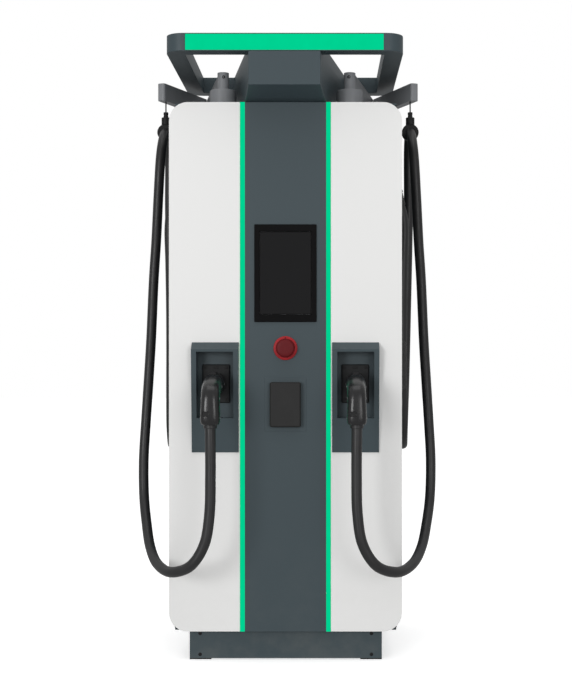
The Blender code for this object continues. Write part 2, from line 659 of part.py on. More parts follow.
def make_cables():
    for name, side in SIDES:
        line = smooth_line([(x * side, y, z) for x, y, z in CABLE_ROUTE], 0.062)
        shape = bpy.data.curves.new("cable_" + name, "CURVE")
        shape.dimensions = "3D"
        shape.bevel_depth = CABLE_R
        shape.bevel_resolution = 2
        shape.use_fill_caps = True
        run = shape.splines.new("POLY")
        run.points.add(len(line) - 1)
        for point, place in zip(run.points, line):
            point.co = (*place, 1.0)
        piece = bpy.data.objects.new("cable_" + name, shape)
        bpy.context.scene.collection.objects.link(piece)
        keep(as_mesh(piece), "cable_" + name, RUBBER)
        make_entry(name, side, line[0], (line[0] - line[1]).normalized())
        make_connector(name, side)


def make_entry(name, side, end, back_along):
    """The pocket in the side panel and the tapered gland in it, which points down and out."""
    depth_x = span(side, 0.318, 0.3565)
    pocket = block("entry_pocket_" + name, (depth_x[0] + GAP, depth_x[1]) if side > 0
                   else (depth_x[0], depth_x[1] - GAP),
                   (CABLE_ENTRY_Y - 0.0445, CABLE_ENTRY_Y + 0.0445), (1.4405, 1.5595), BLACK_PLASTIC)
    wall = 0.002
    inside = span(side, 0.318 + wall + GAP, 0.40)
    hollow = block("pocket_inside_" + name, inside, (CABLE_ENTRY_Y - 0.0425, CABLE_ENTRY_Y + 0.0425),
                   (1.4425, 1.5575), None, cutters)
    cut(pocket, hollow)
    turned("cable_gland_" + name, [(0.0, 0.050), (0.0225, 0.050), (0.0225, 0.034), (0.0200, 0.032),
                                   (0.0180, GAP), (0.0, GAP)],
           end, RUBBER, back_along.to_track_quat("Z", "Y").to_euler(), 16)


def make_connector(name, side):
    """The plug body, its nose in the socket and the hand grip that ends on the cable."""
    middle = side * CONNECTOR_X
    tail = Vector((0, CONNECTOR_END.y, CONNECTOR_END.z + GAP))
    half = 0.031
    profile = [
        (FRONT_Y + 0.012, SOCKET_Z - 0.036), (FRONT_Y + 0.012, SOCKET_Z + 0.036),
        (FRONT_Y - 0.050, SOCKET_Z + 0.036), (FRONT_Y - 0.120, SOCKET_Z + 0.026),
        (FRONT_Y - 0.178, SOCKET_Z - 0.018), (tail.y - 0.026, SOCKET_Z - 0.066),
        (tail.y - 0.024, tail.z), (tail.y + 0.026, tail.z), (tail.y + 0.034, tail.z + 0.050),
        (FRONT_Y - 0.086, SOCKET_Z - 0.036),
    ]
    body = prism("connector_" + name, profile, middle - half, middle + half, "YZ", BLACK_PLASTIC)
    bulk = body.modifiers.new("soft_edges", "BEVEL")
    bulk.width = 0.008
    bulk.segments = 2
    bulk.limit_method = "ANGLE"
    bulk.angle_limit = math.radians(50)
    nose = drum("plug_nose_" + name, (middle, FRONT_Y + 0.012, SOCKET_Z), 0.0295, 0.025, "Y", 24,
                None, cutters)
    join(body, nose)


# ---- side lock ----------------------------------------------------------------
def make_side_lock():
    lock_y = (FRONT_Y + 0.046, FRONT_Y + 0.076)
    face = CABINET_HALF_W + GAP
    prism("lock_escutcheon", rounded([(lock_y[0], 0.868, 0.008), (lock_y[1], 0.868, 0.008),
                                     (lock_y[1], 1.033, 0.008), (lock_y[0], 1.033, 0.008)], 3),
          face, face + 0.010, "YZ", BLACK_PLASTIC)
    outline = [(face + 0.0103, 0.871), (face + 0.030, 0.871), (face + 0.0355, 0.880),
               (face + 0.0355, 1.020), (face + 0.030, 1.030), (face + 0.0160, 1.030),
               (face + 0.0103, 1.016)]
    lever = prism("lock_lever", outline, lock_y[0] + 0.004, lock_y[1] - 0.004, "XZ", BLACK_PLASTIC)
    set_pivot(lever, face + 0.0200, (lock_y[0] + lock_y[1]) / 2, 1.020)


# ---- inside the cabinet -------------------------------------------------------
def make_internals():
    plate_front = 0.122 - GAP
    for name, low, high in (("lower", 1.210, 1.390), ("upper", 1.420, 1.600)):
        block("power_module_" + name, (-0.210, 0.210), (-0.190, plate_front), (low, high), ALUMINIUM)
    block("distribution_unit", (-0.280, 0.280), (-0.060, plate_front), (0.960, 1.170), GREY_PLASTIC)
    block("mains_breaker", (-0.090, 0.090), (-0.020, plate_front), (0.640, 0.900), GREY_PLASTIC)
    block("controller_board", (-0.260, -0.120), (0.050, plate_front), (0.660, 0.880), GREY_PLASTIC)
    tray = block("fan_tray", (-0.200, 0.200), (0.200, 0.260), (0.225, 0.575), STEEL)
    for k, x in enumerate((-0.100, 0.100)):
        centre = (x, 0.230, 0.400)
        cut(tray, drum("fan_bore_%d" % k, centre, 0.090, 0.2, "Y", 32, None, cutters))
        make_fan("fan_rotor_" + ("left", "right")[k], centre)
        strut = block("fan_strut_%d" % k, (x - 0.095, x + 0.095), (0.252, 0.2595), (0.392, 0.408),
                      None, cutters)
        join(tray, strut)


def make_fan(name, centre):
    """A hub with five flat blades."""
    hub = drum(name, (0, 0, 0), 0.030, 0.030, "Y", 15, BLACK_PLASTIC)
    for k in range(5):
        blade = block("blade_%s_%d" % (name, k), (-0.016, 0.016), (-0.002, 0.002), (0.020, 0.084),
                      None, cutters)
        spin = Matrix.Rotation(math.tau * k / 5, 4, "Y")
        pitch = Matrix.Rotation(math.radians(30), 4, "Z")
        bpy.context.view_layer.update()
        blade.data.transform(pitch @ blade.matrix_world)
        blade.data.transform(spin)
        blade.matrix_world = Matrix.Translation(centre)
        join(hub, blade)
    hub.location = centre
    return hub


start_clean()
make_plinth()
make_cabinet()
make_rear_door()
make_fascias()
make_display()
make_stop_button()
make_card_reader()
make_holsters()
make_ring_and_neck()
make_arms()
make_cables()
make_side_lock()
make_internals()
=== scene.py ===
"""Looks of a twin-cable charging post: a painted steel cabinet on a plinth, with a lit ring on its roof."""
import json
import math

import bpy
from mathutils import Matrix, Vector

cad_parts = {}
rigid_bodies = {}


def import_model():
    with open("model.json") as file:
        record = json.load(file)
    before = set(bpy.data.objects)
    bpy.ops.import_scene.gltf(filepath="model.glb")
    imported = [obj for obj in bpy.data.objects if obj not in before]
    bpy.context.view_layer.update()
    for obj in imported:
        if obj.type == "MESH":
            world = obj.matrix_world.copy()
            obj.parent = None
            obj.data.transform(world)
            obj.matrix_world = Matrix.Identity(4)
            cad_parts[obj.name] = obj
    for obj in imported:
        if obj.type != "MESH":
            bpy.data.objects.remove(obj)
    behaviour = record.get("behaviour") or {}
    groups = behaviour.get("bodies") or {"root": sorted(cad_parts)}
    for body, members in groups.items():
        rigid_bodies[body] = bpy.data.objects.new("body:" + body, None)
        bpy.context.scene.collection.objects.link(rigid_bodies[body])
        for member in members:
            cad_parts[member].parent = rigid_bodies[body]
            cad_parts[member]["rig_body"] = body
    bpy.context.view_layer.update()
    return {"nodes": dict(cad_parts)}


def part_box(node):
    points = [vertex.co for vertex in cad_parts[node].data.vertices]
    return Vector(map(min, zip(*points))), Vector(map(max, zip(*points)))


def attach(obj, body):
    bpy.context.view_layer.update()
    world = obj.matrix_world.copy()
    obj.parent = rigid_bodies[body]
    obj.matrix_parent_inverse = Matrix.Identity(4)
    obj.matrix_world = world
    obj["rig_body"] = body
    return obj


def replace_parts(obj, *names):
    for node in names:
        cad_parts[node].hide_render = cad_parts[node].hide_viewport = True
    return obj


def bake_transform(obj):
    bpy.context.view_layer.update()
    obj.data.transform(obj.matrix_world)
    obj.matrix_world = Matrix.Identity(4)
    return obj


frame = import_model()
SIDES = (("left", -1), ("right", 1))

# ---- Camera --------------------------------------------------------------------
# It stands level, a little right of the post's middle and at the height of the plugs. The small
# shift frames the post without tilting the camera, so its uprights stay upright.
CAMERA_PLACE = (0.125, -4.380, 1.020)
bpy.ops.object.camera_add(location=CAMERA_PLACE, rotation=(math.radians(90), 0, 0))
camera = bpy.context.object
camera.data.lens = 65.7
camera.data.shift_x = -0.0547
camera.data.shift_y = -0.0071
bpy.context.scene.camera = camera

# ---- Charging cables -----------------------------------------------------------
# Two 33 mm cables in matt rubber jackets. Each leaves a gland in the cabinet's side, falls to a low
# loop, climbs behind the swing arm to its hanger, and hangs in a long loop to the plug.
CABLE_RADIUS = 0.0165
CABLE_ROUTE = [
    (0.3725, -0.1400, 1.4920),
    (0.3850, -0.1400, 1.4500),
    (0.3890, -0.1395, 1.4050),
    (0.3865, -0.1390, 1.3000),
    (0.3840, -0.1380, 1.1500),
    (0.3835, -0.1360, 1.0000),
    (0.3850, -0.1260, 0.8700),
    (0.3880, -0.0960, 0.7500),
    (0.3920, -0.0250, 0.6830),
    (0.3980, 0.0520, 0.7100),
    (0.4040, 0.1000, 0.8000),
    (0.4100, 0.1270, 0.9500),
    (0.4160, 0.1450, 1.1500),
    (0.4210, 0.1530, 1.3500),
    (0.4235, 0.1500, 1.5200),
    (0.4232, 0.1520, 1.6505),
    (0.4226, 0.1380, 1.7025),
    (0.4218, 0.1000, 1.7406),
    (0.4211, 0.0480, 1.7545),
    (0.4222, -0.0040, 1.7406),
    (0.4248, -0.0420, 1.7025),
    (0.4290, -0.0560, 1.6505),
    (0.4370, -0.0560, 1.5110),
    (0.4440, -0.0530, 1.3750),
    (0.4530, -0.0500, 1.2400),
    (0.4620, -0.0500, 1.0370),
    (0.4700, -0.0520, 0.9010),
    (0.4780, -0.0580, 0.7660),
    (0.4840, -0.0700, 0.6310),
    (0.4790, -0.0950, 0.5100),
    (0.4640, -0.1450, 0.4300),
    (0.4420, -0.2200, 0.3640),
    (0.4040, -0.3200, 0.3230),
    (0.3480, -0.4100, 0.3140),
    (0.2850, -0.4550, 0.3420),
    (0.2430, -0.4660, 0.4080),
    (0.2270, -0.4660, 0.5000),
    (0.2240, -0.4640, 0.6200),
    (0.2250, -0.4600, 0.7737),
]
# The cable runs on inside the plug's grip, to its terminals.
ROUTE_IN_PLUG = [
    (0.2250, -0.4520, 0.8200),
    (0.2250, -0.4280, 0.8620),
    (0.2250, -0.3880, 0.8880),
]
# Numbers of the route's points where one stretch ends and the next begins.
LOW_LOOP, STRAND_SPLIT, TAIL_START = 8, 25, 36
STEPS_A_POINT = 22
CABLE_SIDES = 20


class Link:
    """An output of a shader node. Sums on it add Math nodes, so 1 - mask * 0.5 works as written."""

    def __init__(self, finish, socket):
        self.finish = finish
        self.socket = socket

    def maths(self, operation, first, second):
        return self.finish.add("ShaderNodeMath", {"operation": operation}, {0: first, 1: second})

    def __add__(self, other):
        return self.maths("ADD", self, other)

    def __radd__(self, other):
        return self.maths("ADD", other, self)

    def __sub__(self, other):
        return self.maths("SUBTRACT", self, other)

    def __rsub__(self, other):
        return self.maths("SUBTRACT", other, self)

    def __mul__(self, other):
        return self.maths("MULTIPLY", self, other)

    def __rmul__(self, other):
        return self.maths("MULTIPLY", other, self)


class Finish:
    """A material on one Principled shader. Constants sit on its sockets, and nodes make what varies."""

    def __init__(self, name, **constants):
        self.material = bpy.data.materials.new(name)
        self.material.use_nodes = True
        self.tree = self.material.node_tree
        self.shader = self.tree.nodes["Principled BSDF"]
        for socket, value in constants.items():
            self.shader.inputs[socket.replace("_", " ")].default_value = value
        self.place = self.add("ShaderNodeTexCoord", {}, {}, "Object")

    def add(self, kind, settings, sockets, output=0):
        """A node of a kind, its settings made first, then its sockets' values or links."""
        node = self.tree.nodes.new(kind)
        for setting, value in settings.items():
            setattr(node, setting, value)
        for socket, value in sockets.items():
            if isinstance(value, Link):
                self.tree.links.new(value.socket, node.inputs[socket])
            else:
                node.inputs[socket].default_value = value
        return Link(self, node.outputs[output])

    def stretched(self, scale):
        """The piece's own coordinates with a factor on each axis."""
        return self.add("ShaderNodeMapping", {}, {"Vector": self.place, "Scale": scale})

    def noise(self, scale, detail=2.0, rough=0.5, vector=None):
        sockets = {"Vector": vector or self.place, "Scale": scale, "Detail": detail, "Roughness": rough}
        return self.add("ShaderNodeTexNoise", {}, sockets)

    def height(self):
        """The Z coordinate, in metres above the ground."""
        return self.add("ShaderNodeSeparateXYZ", {}, {"Vector": self.place}, "Z")

    def band(self, value, low, high):
        """0 where a value is low and 1 where it is high, with a smooth step between."""
        sockets = {"Value": value, "From Min": low, "From Max": high}
        return self.add("ShaderNodeMapRange", {"interpolation_type": "SMOOTHSTEP"}, sockets)

    def blend(self, share, first, second):
        """A colour between two others."""
        return self.add("ShaderNodeMix", {"data_type": "RGBA"}, {0: share, 6: first, 7: second}, 2)

    def bumps(self, height, strength, depth):
        return self.add("ShaderNodeBump", {}, {"Strength": strength, "Distance": depth, "Height": height})

    def feed(self, **varying):
        """Links what varies over the surface to the shader's sockets."""
        for socket, link in varying.items():
            self.tree.links.new(link.socket, self.shader.inputs[socket.replace("_", " ")])
        return self


def paint_colour(red, green, blue):
    """A colour from its 0 to 255 paint-chart values, as the shader wants it."""
    linear = [v / 3294.6 if v <= 10 else ((v / 255 + 0.055) / 1.055) ** 2.4 for v in (red, green, blue)]
    return (*linear, 1.0)


def scaled(colour, factor):
    """A colour made lighter or darker."""
    return (*[min(1.0, c * factor) for c in colour[:3]], 1.0)


def smooth_route(points):
    """Points on the centripetal Catmull-Rom curve through a route, STEPS_A_POINT for each stretch."""
    route = [Vector(p) for p in points]
    route = [route[0] * 2 - route[1]] + route + [route[-1] * 2 - route[-2]]
    line = []
    for a, b, c, d in zip(route, route[1:], route[2:], route[3:]):
        t1 = math.sqrt((b - a).length)
        t2 = t1 + math.sqrt((c - b).length)
        t3 = t2 + math.sqrt((d - c).length)
        for k in range(STEPS_A_POINT):
            t = t1 + (t2 - t1) * k / STEPS_A_POINT
            ab = a.lerp(b, t / t1)
            bc = b.lerp(c, (t - t1) / (t2 - t1))
            cd = c.lerp(d, (t - t2) / (t3 - t2))
            abc = ab.lerp(bc, t / t2)
            bcd = bc.lerp(cd, (t - t1) / (t3 - t1))
            line.append(abc.lerp(bcd, (t - t1) / (t2 - t1)))
    line.append(route[-2])
    return line


def rings_along(line, radius, sides):
    """A ring of points square to the line at each of its points, turning as little as it can."""
    rings = []
    across = None
    for k, centre in enumerate(line):
        along = (line[min(k + 1, len(line) - 1)] - line[max(k - 1, 0)]).normalized()
        start = across if across is not None else Vector((0, 1, 0))
        across = (start - along * start.dot(along)).normalized()
        other = along.cross(across)
        turns = [math.tau * s / sides for s in range(sides)]
        rings.append([centre + (across * math.cos(a) + other * math.sin(a)) * radius for a in turns])
    return rings


def tube(name, rings, starts_at):
    """A closed tube through rings, with its distance along the cable stored at each point."""
    sides = len(rings[0])
    faces = []
    for k in range(len(rings) - 1):
        for s in range(sides):
            a, b = k * sides + s, k * sides + (s + 1) % sides
            faces.append((a, b, b + sides, a + sides))
    faces.append(tuple(range(sides))[::-1])
    faces.append(tuple((len(rings) - 1) * sides + s for s in range(sides)))
    mesh = bpy.data.meshes.new(name)
    mesh.from_pydata([tuple(p) for ring in rings for p in ring], [], faces)
    along = mesh.attributes.new("along", "FLOAT", "POINT")
    run = starts_at
    centres = [sum(ring, Vector()) / sides for ring in rings]
    distances = []
    for k, centre in enumerate(centres):
        run += (centre - centres[k - 1]).length if k else 0.0
        distances += [run] * sides
    along.data.foreach_set("value", distances)
    piece = bpy.data.objects.new(name, mesh)
    bpy.context.collection.objects.link(piece)
    return piece


def smooth(piece, angle=35):
    """Smooth shading, with edges sharper than an angle kept crisp."""
    bpy.ops.object.select_all(action="DESELECT")
    piece.select_set(True)
    bpy.context.view_layer.objects.active = piece
    bpy.ops.object.shade_smooth_by_angle(angle=math.radians(angle))


def rubber_jacket():
    """Extruded matt rubber: a fine grain, faint drawn streaks and a paler bloom in patches."""
    black = paint_colour(33, 33, 34)
    made = Finish("cable_rubber", Roughness=0.42, Specular_IOR_Level=0.4)
    run = made.add("ShaderNodeAttribute", {"attribute_name": "along"}, {}, "Fac")
    streaks = made.noise(9.0, 3.0, 0.6, made.add("ShaderNodeCombineXYZ", {}, {"X": run}))
    bloom = made.band(made.noise(14.0, 4.0), 0.42, 0.68)
    grain = made.noise(1400.0, 2.0)
    tone = bloom * 0.35 + streaks * 0.4
    made.feed(
        Base_Color=made.blend(tone, scaled(black, 0.85), scaled(black, 1.35)),
        Roughness=0.36 + bloom * 0.10 + grain * 0.06,
        Normal=made.bumps(grain, 0.18, 0.0004),
    )
    return made


def chain_length(line):
    """How long a line is, point by point."""
    return sum((b - a).length for a, b in zip(line, line[1:]))


cable_rubber = rubber_jacket()
cable_pieces = {}
cable_lines = {}
for name, side in SIDES:
    line = smooth_route([(x * side, y, z) for x, y, z in CABLE_ROUTE + ROUTE_IN_PLUG])
    rings = rings_along(line, CABLE_RADIUS, CABLE_SIDES)
    ends = [0, LOW_LOOP, STRAND_SPLIT, TAIL_START, len(CABLE_ROUTE + ROUTE_IN_PLUG) - 1]
    starts_at = 0.0
    for stretch, first, last in zip(("fall", "lift", "loop", "tail"), ends, ends[1:]):
        first, last = first * STEPS_A_POINT, last * STEPS_A_POINT
        piece = tube("cable_%s_%s" % (stretch, name), rings[first:last + 1], starts_at)
        smooth(piece)
        piece.data.materials.append(cable_rubber.material)
        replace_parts(piece, "cable_" + name)
        cable_pieces[stretch, name] = piece
        cable_lines[stretch, name] = line[first:last + 1]
        starts_at += chain_length(line[first:last + 1])
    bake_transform(cable_pieces["fall", name])
    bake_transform(cable_pieces["lift", name])
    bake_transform(cable_pieces["loop", name])
    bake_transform(cable_pieces["tail", name])

# ---- Cable glands --------------------------------------------------------------
# Black moulded glands in the side pockets: a nut, a ribbed bend guard that tapers, and the cable
# pushed through both. The nut is screwed to the pocket's roof and points down the cable.


def settle(piece, place=(0, 0, 0), axis=(0, 0, 1)):
    """Turns a piece from +Z to an axis, moves it to its place, and leaves the place in its mesh."""
    turn = Vector(axis).to_track_quat("Z", "Y").to_matrix().to_4x4()
    piece.data.transform(Matrix.Translation(Vector(place)) @ turn @ piece.matrix_world)
    piece.matrix_world = Matrix.Identity(4)
    return piece


def turned(name, profile, sides=32):
    """A round piece about +Z: a disc drawn out through (radius, height) steps, as on a lathe."""
    radius, height = profile[0]
    bpy.ops.object.select_all(action="DESELECT")
    place = (0, 0, height)
    bpy.ops.mesh.primitive_circle_add(vertices=sides, radius=radius, location=place, fill_type="NGON")
    piece = bpy.context.object
    bpy.ops.object.transform_apply(location=True, rotation=True, scale=True)
    bpy.ops.object.mode_set(mode="EDIT")
    bpy.ops.mesh.select_all(action="SELECT")
    for (r0, z0), (r1, z1) in zip(profile, profile[1:]):
        bpy.ops.mesh.extrude_region_move(TRANSFORM_OT_translate={"value": (0, 0, z1 - z0)})
        if abs(r1 - r0) > 1e-7:
            bpy.ops.transform.resize(value=(r1 / r0, r1 / r0, 1), center_override=(0, 0, z1))
    bpy.ops.mesh.select_all(action="SELECT")
    bpy.ops.mesh.normals_make_consistent(inside=False)
    bpy.ops.object.mode_set(mode="OBJECT")
    piece.name = name
    piece.data.name = name
    return piece


def fit(piece, body, finish, angle=35):
    """Gives a finished piece its shading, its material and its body."""
    smooth(piece, angle)
    flat_faces = piece.modifiers.new("flat_faces", "WEIGHTED_NORMAL")
    flat_faces.keep_sharp = True
    flat_faces.weight = 80
    bpy.ops.object.modifier_apply(modifier=flat_faces.name)
    piece.data.materials.clear()
    piece.data.materials.append(finish.material)
    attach(piece, body)
    return piece


def moulded_plastic(name, colour, roughness, grain=900.0, shine=0.18):
    """Moulded plastic with a spark-eroded grain, a little uneven in gloss where hands rub it."""
    made = Finish(name, Specular_IOR_Level=shine)
    texture = made.noise(grain, 3.0, 0.6)
    worn = made.band(made.noise(16.0, 3.0), 0.45, 0.75)
    made.feed(
        Base_Color=made.blend(texture * 0.5 + worn * 0.3, scaled(colour, 0.86), scaled(colour, 1.22)),
        Roughness=roughness + texture * 0.10 - worn * 0.08,
        Normal=made.bumps(texture, 0.25, 0.0003),
    )
    return made


black_plastic = moulded_plastic("black_plastic", paint_colour(28, 28, 29), 0.42)
GLAND_NUT_RADIUS = 0.0235
GLAND_RIBS = 5
for name, side in SIDES:
    line = cable_lines["fall", name]
    up = (line[0] - line[1]).normalized()
    nut = turned("gland_nut_" + name, [(0.0215, 0.030), (GLAND_NUT_RADIUS, 0.0315),
                                      (GLAND_NUT_RADIUS, 0.0485), (0.0215, 0.050)], 6)
    fit(settle(nut, line[0], up), "root", black_plastic)
    profile = [(0.0178, -0.012), (0.0186, -0.012)]
    for k in range(GLAND_RIBS):
        foot = -0.010 + 0.008 * k
        wide = 0.0188 + 0.0005 * k
        profile += [(wide, foot), (wide + 0.0010, foot + 0.001), (wide + 0.0010, foot + 0.005),
                    (wide, foot + 0.006)]
    profile += [(0.0212, 0.0305), (0.0178, 0.0305)]
    guard = turned("gland_guard_" + name, profile)
    fit(settle(guard, line[0], up), "root", cable_rubber)
    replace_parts(guard, "cable_gland_" + name)
    cable_pieces["guard", name] = guard
    cable_pieces["nut", name] = nut

# ---- Charging plugs ------------------------------------------------------------
# Pistol-grip plugs in two moulded black shells, closed by screws from the side. A round nose goes in
# the socket, a latch lever lies on top, and the cable is held in a clamp behind the small window.
PLUG_X = 0.225
PLUG_SIDES = 40
# Outer and inner edge (Y, Z) of each section up the grip and along the nose, its half width, and
# how square it is: 2 is a plain ellipse.
PLUG_SECTIONS = [
    ((-0.4795, 0.7742), (-0.4405, 0.7742), 0.0205, 2.0),
    ((-0.4835, 0.7752), (-0.4365, 0.7752), 0.0255, 2.4),
    ((-0.4862, 0.7790), (-0.4338, 0.7790), 0.0290, 2.8),
    ((-0.4875, 0.7880), (-0.4325, 0.7890), 0.0306, 3.0),
    ((-0.4875, 0.8050), (-0.4310, 0.8080), 0.0304, 3.1),
    ((-0.4865, 0.8300), (-0.4285, 0.8300), 0.0292, 3.1),
    ((-0.4845, 0.8560), (-0.4225, 0.8450), 0.0288, 3.0),
    ((-0.4795, 0.8780), (-0.4110, 0.8530), 0.0290, 2.9),
    ((-0.4720, 0.8920), (-0.3980, 0.8570), 0.0292, 2.8),
    ((-0.4570, 0.9035), (-0.3820, 0.8590), 0.0296, 2.7),
    ((-0.4320, 0.9140), (-0.3660, 0.8595), 0.0300, 2.6),
    ((-0.3980, 0.9230), (-0.3500, 0.8595), 0.0305, 2.5),
    ((-0.3600, 0.9290), (-0.3360, 0.8593), 0.0309, 2.4),
    ((-0.3200, 0.9310), (-0.3180, 0.8590), 0.0310, 2.3),
    ((-0.2800, 0.9310), (-0.2800, 0.8590), 0.0310, 2.2),
    ((-0.2730, 0.9300), (-0.2730, 0.8600), 0.0306, 2.1),
    ((-0.2710, 0.9250), (-0.2710, 0.8650), 0.0294, 2.0),
    ((-0.2480, 0.9240), (-0.2480, 0.8660), 0.0290, 2.0),
]
# How far each screw stands from the plug's middle, and its Y and Z.
PLUG_SCREWS = ((0.0303, -0.4600, 0.7960), (0.0286, -0.4560, 0.8560), (0.0303, -0.3900, 0.8900),
               (0.0308, -0.3000, 0.8950))


def squarish(share, power):
    """A point at a share of the way round a ring that is squarer than an ellipse."""
    angle = math.tau * share
    bend = 2 / power
    x, y = math.cos(angle), math.sin(angle)
    return math.copysign(abs(x) ** bend, x), math.copysign(abs(y) ** bend, y)


def block(name, low, high, edge, segments=3):
    """A box between two corners with its edges rounded."""
    bpy.ops.object.select_all(action="DESELECT")
    middle = (Vector(low) + Vector(high)) / 2
    size = Vector([abs(h - l) for l, h in zip(low, high)])
    bpy.ops.mesh.primitive_cube_add(size=1, location=middle, scale=size)
    piece = bpy.context.object
    bpy.ops.object.transform_apply(location=True, rotation=True, scale=True)
    piece.name = name
    piece.data.name = name
    round_edges(piece, edge, segments)
    return piece


def round_edges(piece, width, segments=3, angle=30):
    """Rounds the edges that are sharper than an angle."""
    rounding = piece.modifiers.new("rounding", "BEVEL")
    rounding.width = width
    rounding.segments = segments
    rounding.limit_method = "ANGLE"
    rounding.angle_limit = math.radians(angle)
    apply_modifiers(piece)


def apply_modifiers(piece):
    """Applies a piece's modifiers, in their order."""
    bpy.ops.object.select_all(action="DESELECT")
    piece.select_set(True)
    bpy.context.view_layer.objects.active = piece
    for modifier in list(piece.modifiers):
        bpy.ops.object.modifier_apply(modifier=modifier.name)


def carve(piece, *cutters):
    """Cuts other pieces' shapes out of a piece, and removes them."""
    for cutter in cutters:
        cut = piece.modifiers.new("cut", "BOOLEAN")
        cut.operation = "DIFFERENCE"
        cut.object = cutter
    apply_modifiers(piece)
    for cutter in cutters:
        bpy.data.objects.remove(cutter)


def plug_shell(name, middle):
    """The skin of a plug, through its sections from the cable's end to the nose."""
    points = []
    for outer, inner, half_width, power in PLUG_SECTIONS:
        for s in range(PLUG_SIDES):
            across, out = squarish(s / PLUG_SIDES, power)
            share = (1 - out) / 2
            y = outer[0] + (inner[0] - outer[0]) * share
            z = outer[1] + (inner[1] - outer[1]) * share
            points.append((middle + across * half_width, y, z))
    faces = []
    for k in range(len(PLUG_SECTIONS) - 1):
        for s in range(PLUG_SIDES):
            a, b = k * PLUG_SIDES + s, k * PLUG_SIDES + (s + 1) % PLUG_SIDES
            faces.append((a, b, b + PLUG_SIDES, a + PLUG_SIDES))
    last = (len(PLUG_SECTIONS) - 1) * PLUG_SIDES
    faces.append(tuple(range(PLUG_SIDES))[::-1])
    faces.append(tuple(last + s for s in range(PLUG_SIDES)))
    mesh = bpy.data.meshes.new(name)
    mesh.from_pydata(points, [], faces)
    shell = bpy.data.objects.new(name, mesh)
    bpy.context.collection.objects.link(shell)
    bpy.ops.object.select_all(action="DESELECT")
    shell.select_set(True)
    bpy.context.view_layer.objects.active = shell
    bpy.ops.object.mode_set(mode="EDIT")
    bpy.ops.mesh.select_all(action="SELECT")
    bpy.ops.mesh.normals_make_consistent(inside=False)
    bpy.ops.object.mode_set(mode="OBJECT")
    rounding = shell.modifiers.new("smoothing", "SUBSURF")
    rounding.levels = 1
    rounding.render_levels = 1
    apply_modifiers(shell)
    return shell


plug_shell_plastic = moulded_plastic("plug_plastic", paint_colour(29, 29, 30), 0.22, 1100.0, 0.40)
bright_steel = Finish("screw_steel", Metallic=1.0, Roughness=0.32)
brushing = bright_steel.noise(600.0, 3.0)
bright_steel.feed(
    Base_Color=bright_steel.blend(brushing, paint_colour(120, 122, 124), paint_colour(165, 167, 169)),
    Roughness=0.25 + brushing * 0.18,
)


def screw_head(name, radius, rise, depth=None):
    """A round screw head with a socket in it, about +Z with its seat at 0."""
    deep = depth if depth is not None else rise * 0.7
    recess = radius * 0.42
    return turned(name, [(radius, 0.0), (radius, rise * 0.45), (radius * 0.90, rise * 0.82),
                         (radius * 0.70, rise), (recess * 1.1, rise), (recess, rise - radius * 0.06),
                         (recess, rise - deep)], 18)


for name, side in SIDES:
    body = "plug_" + name
    middle = PLUG_X * side
    shell = plug_shell("plug_shell_" + name, middle)
    seam = block("seam", (middle - 0.0005, -0.49, 0.76), (middle + 0.0005, -0.4862, 0.90), 0.0001, 1)
    window = block("window", (middle - 0.022, -0.495, 0.8010), (middle - 0.002, -0.4790, 0.8175), 0.0015)
    finger_rest = block("rest", (middle - 0.040, -0.4205, 0.812), (middle + 0.040, -0.3600, 0.8400), 0.006)
    carve(shell, seam, window, finger_rest)
    fit(shell, body, plug_shell_plastic, 40)
    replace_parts(shell, "connector_" + name)
    # The latch lever lies on top of the nose.
    lever = block("plug_latch_" + name, (middle - 0.0105, -0.3550, 0.9200),
                  (middle + 0.0105, -0.3050, 0.9335), 0.0035)
    fit(lever, body, black_plastic)
    clamp = turned("plug_clamp_" + name, [(0.0172, -0.0100), (0.0196, -0.0100), (0.0210, -0.0085),
                                         (0.0210, 0.0015), (0.0172, 0.0015)])
    fit(settle(clamp, (middle, -0.460, 0.7742)), body, cable_rubber)
    cable_pieces["plug", name] = shell
    cable_pieces["clamp", name] = clamp
    for flank in (-1, 1):
        for number, (reach, y, z) in enumerate(PLUG_SCREWS):
            screw = screw_head("plug_screw_%s_%s_%d" % (name, "ab"[flank > 0], number), 0.0032, 0.0014)
            settle(screw, (middle + flank * (reach - 0.0006), y, z), (flank, 0, 0))
            fit(screw, body, bright_steel)

# Each stretch of a cable leaves the stretch before it, and its length is worked out and not kept.
for name, side in SIDES:
    for stretch in ("fall", "lift", "loop", "tail"):
        line = cable_lines[stretch, name]
        chain_length(line)

# ---- Studio --------------------------------------------------------------------
# A pale floor under a white surround, with a broad light overhead, a soft one from the front left
# and a weaker one from the right. The floor is left out of what the post reflects.
bpy.ops.object.select_all(action="DESELECT")
bpy.ops.mesh.primitive_plane_add(size=40)
floor = bpy.context.object
floor.name = "studio_floor"
floor.visible_diffuse = False
floor.visible_glossy = False
floor_paint = Finish("studio_floor", Roughness=0.7, Emission_Strength=0.60)
floor_tone = floor_paint.noise(1.5, 2.0)
floor_shade = floor_paint.blend(floor_tone, (0.86, 0.86, 0.86, 1), (0.90, 0.90, 0.90, 1))
floor_paint.feed(Base_Color=floor_shade, Emission_Color=floor_shade)
floor.data.materials.append(floor_paint.material)

